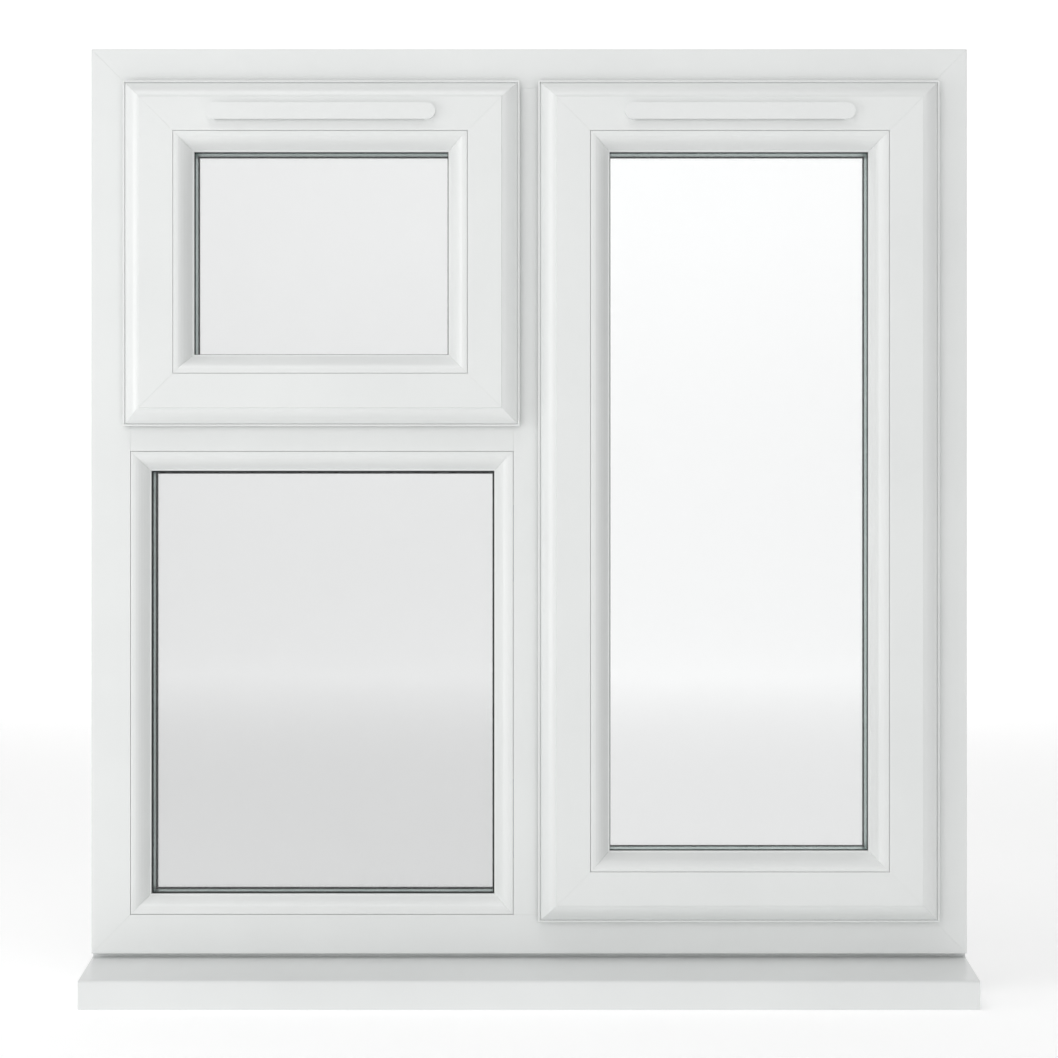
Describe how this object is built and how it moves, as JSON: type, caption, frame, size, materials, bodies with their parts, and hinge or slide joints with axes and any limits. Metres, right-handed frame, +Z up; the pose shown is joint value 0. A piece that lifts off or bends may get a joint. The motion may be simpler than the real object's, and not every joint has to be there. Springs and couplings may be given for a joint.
{
  "type": "casement window",
  "caption": "White PVC casement window: side-hung casement, top-hung fanlight over a fixed light, trickle vents and a projecting sill.",
  "frame": {"origin": "middle of the bed under the sill, directly under the exterior face of the outer frame", "axes": "+X to the right seen from outside, -Y towards the outside, +Y into the room, +Z up"},
  "size_m": [0.905, 0.165, 0.978],
  "materials": {
    "pvc_frame": "smooth white PVC with a light gloss",
    "pvc_sill": "smooth white PVC with a light gloss",
    "vent_white": "white moulded plastic",
    "handle_white": "white powder coat",
    "glass": "clear float glass",
    "spacer": "satin grey spacer bar",
    "gasket": "matt black rubber",
    "packer": "blue plastic packers",
    "galvanised_steel": "galvanised",
    "stay_steel": "satin stainless steel",
    "stay_shoe": "brass",
    "lock_steel": "zinc plated",
    "button_metal": "polished"
  },
  "bodies": {
    "frame": {"frame_head": "pvc_frame", "frame_jamb_left": "pvc_frame", "frame_jamb_right": "pvc_frame", "frame_bottom_rail": "pvc_frame", "mullion": "pvc_frame", "transom": "pvc_frame", "frame_steels": "galvanised_steel", "sill": "pvc_sill", "sill_end_caps": "pvc_sill", "fixed_outer_pane": "glass", "fixed_inner_pane": "glass", "fixed_spacer": "spacer", "fixed_beads": "pvc_frame", "fixed_seals": "gasket", "fixed_packers": "packer", "weather_seals": "gasket", "stay_tracks": "stay_steel", "lock_keeps": "lock_steel"},
    "casement_short_arm_pair": {"casement_short_arms": "stay_steel"},
    "casement_mid_arm_pair": {"casement_mid_arms": "stay_steel"},
    "casement_long_arm_pair": {"casement_long_arms": "stay_steel"},
    "casement_shoe_pair": {"casement_shoes": "stay_shoe"},
    "casement_handle_lever": {"casement_handle": "handle_white"},
    "casement_button": {"casement_lock_button": "button_metal"},
    "casement_rod": {"casement_lock_rod": "lock_steel"},
    "casement_flap": {"casement_vent_flap": "vent_white"},
    "casement_sash": {"casement_rails": "pvc_frame", "casement_stiles": "pvc_frame", "casement_outer_pane": "glass", "casement_inner_pane": "glass", "casement_spacer": "spacer", "casement_beads": "pvc_frame", "casement_seals": "gasket", "casement_packers": "packer", "casement_sash_bars": "stay_steel", "casement_lock_case": "lock_steel", "casement_handle_base": "handle_white", "casement_vent_canopy": "vent_white", "casement_vent_body": "vent_white"},
    "fanlight_short_arm_pair": {"fanlight_short_arms": "stay_steel"},
    "fanlight_mid_arm_pair": {"fanlight_mid_arms": "stay_steel"},
    "fanlight_long_arm_pair": {"fanlight_long_arms": "stay_steel"},
    "fanlight_shoe_pair": {"fanlight_shoes": "stay_shoe"},
    "fanlight_handle_lever": {"fanlight_handle": "handle_white"},
    "fanlight_button": {"fanlight_lock_button": "button_metal"},
    "fanlight_rod": {"fanlight_lock_rod": "lock_steel"},
    "fanlight_flap": {"fanlight_vent_flap": "vent_white"},
    "fanlight_sash": {"fanlight_rails": "pvc_frame", "fanlight_stiles": "pvc_frame", "fanlight_outer_pane": "glass", "fanlight_inner_pane": "glass", "fanlight_spacer": "spacer", "fanlight_beads": "pvc_frame", "fanlight_seals": "gasket", "fanlight_packers": "packer", "fanlight_sash_bars": "stay_steel", "fanlight_lock_case": "lock_steel", "fanlight_handle_base": "handle_white", "fanlight_vent_canopy": "vent_white", "fanlight_vent_body": "vent_white"}
  },
  "joints": [
    {"name": "casement_short_arm_swing", "type": "hinge", "parent": "frame", "child": "casement_short_arm_pair", "pos_m": [0.332, 0.024, 0.4975], "axis": [0, 0, 1], "range_deg": [-80, 0]},
    {"name": "casement_open", "type": "hinge", "parent": "casement_short_arm_pair", "child": "casement_sash", "pos_m": [0.392, 0.024, 0.4975], "axis": [0, 0, 1], "range_deg": [0, 160]},
    {"name": "casement_long_arm_swing", "type": "hinge", "parent": "casement_sash", "child": "casement_long_arm_pair", "pos_m": [0.287, 0.024, 0.4975], "axis": [0, 0, 1], "range_deg": [-160, 0]},
    {"name": "casement_shoe_turn", "type": "hinge", "parent": "casement_long_arm_pair", "child": "casement_shoe_pair", "pos_m": [0.122, 0.024, 0.4975], "axis": [0, 0, 1], "range_deg": [0, 80]},
    {"name": "casement_mid_arm_swing", "type": "hinge", "parent": "frame", "child": "casement_mid_arm_pair", "pos_m": [0.332, 0.024, 0.4975], "axis": [0, 0, 1], "range_deg": [0, 80]},
    {"name": "fanlight_short_arm_swing", "type": "hinge", "parent": "frame", "child": "fanlight_short_arm_pair", "pos_m": [-0.214, 0.024, 0.8595], "axis": [-1, 0, 0], "range_deg": [-50, 0]},
    {"name": "fanlight_open", "type": "hinge", "parent": "fanlight_short_arm_pair", "child": "fanlight_sash", "pos_m": [-0.214, 0.024, 0.9045], "axis": [-1, 0, 0], "range_deg": [0, 100]},
    {"name": "fanlight_long_arm_swing", "type": "hinge", "parent": "fanlight_sash", "child": "fanlight_long_arm_pair", "pos_m": [-0.214, 0.024, 0.8345], "axis": [-1, 0, 0], "range_deg": [-100, 0]},
    {"name": "fanlight_shoe_turn", "type": "hinge", "parent": "fanlight_long_arm_pair", "child": "fanlight_shoe_pair", "pos_m": [-0.214, 0.024, 0.7195], "axis": [-1, 0, 0], "range_deg": [0, 50]},
    {"name": "fanlight_mid_arm_swing", "type": "hinge", "parent": "frame", "child": "fanlight_mid_arm_pair", "pos_m": [-0.214, 0.024, 0.8595], "axis": [-1, 0, 0], "range_deg": [0, 50]},
    {"name": "casement_handle_turn", "type": "hinge", "parent": "casement_sash", "child": "casement_handle_lever", "pos_m": [0.0545, 0.08, 0.4975], "axis": [0, -1, 0], "range_deg": [0, 90]},
    {"name": "casement_lock_rod_slide", "type": "slide", "parent": "casement_sash", "child": "casement_rod", "axis": [0, 0, 1], "range_m": [0, 0.018]},
    {"name": "casement_lock_button_press", "type": "slide", "parent": "casement_handle_lever", "child": "casement_button", "axis": [0, -1, 0], "range_m": [0, 0.0025], "stiffness_N_per_m": 400},
    {"name": "casement_vent_flap_tilt", "type": "hinge", "parent": "casement_sash", "child": "casement_flap", "pos_m": [0.21625, 0.0575, 0.8845], "axis": [-1, 0, 0], "range_deg": [0, 50]},
    {"name": "fanlight_handle_turn", "type": "hinge", "parent": "fanlight_sash", "child": "fanlight_handle_lever", "pos_m": [-0.214, 0.08, 0.62], "axis": [0, 1, 0], "range_deg": [0, 90]},
    {"name": "fanlight_lock_rod_slide", "type": "slide", "parent": "fanlight_sash", "child": "fanlight_rod", "axis": [1, 0, 0], "range_m": [0, 0.018]},
    {"name": "fanlight_lock_button_press", "type": "slide", "parent": "fanlight_handle_lever", "child": "fanlight_button", "axis": [0, -1, 0], "range_m": [0, 0.0025], "stiffness_N_per_m": 400},
    {"name": "fanlight_vent_flap_tilt", "type": "hinge", "parent": "fanlight_sash", "child": "fanlight_flap", "pos_m": [-0.214, 0.0575, 0.8845], "axis": [-1, 0, 0], "range_deg": [0, 50]}
  ],
  "couplings": [
    {"joint": "casement_short_arm_swing", "follows": "casement_open", "ratio": -0.5},
    {"joint": "casement_long_arm_swing", "follows": "casement_open", "ratio": -1},
    {"joint": "casement_shoe_turn", "follows": "casement_open", "ratio": 0.5},
    {"joint": "casement_mid_arm_swing", "follows": "casement_open", "ratio": 0.5},
    {"joint": "fanlight_short_arm_swing", "follows": "fanlight_open", "ratio": -0.5},
    {"joint": "fanlight_long_arm_swing", "follows": "fanlight_open", "ratio": -1},
    {"joint": "fanlight_shoe_turn", "follows": "fanlight_open", "ratio": 0.5},
    {"joint": "fanlight_mid_arm_swing", "follows": "fanlight_open", "ratio": 0.5},
    {"joint": "casement_lock_rod_slide", "follows": "casement_handle_turn", "m_per_rad": 0.011459},
    {"joint": "fanlight_lock_rod_slide", "follows": "fanlight_handle_turn", "m_per_rad": 0.011459}
  ]
}
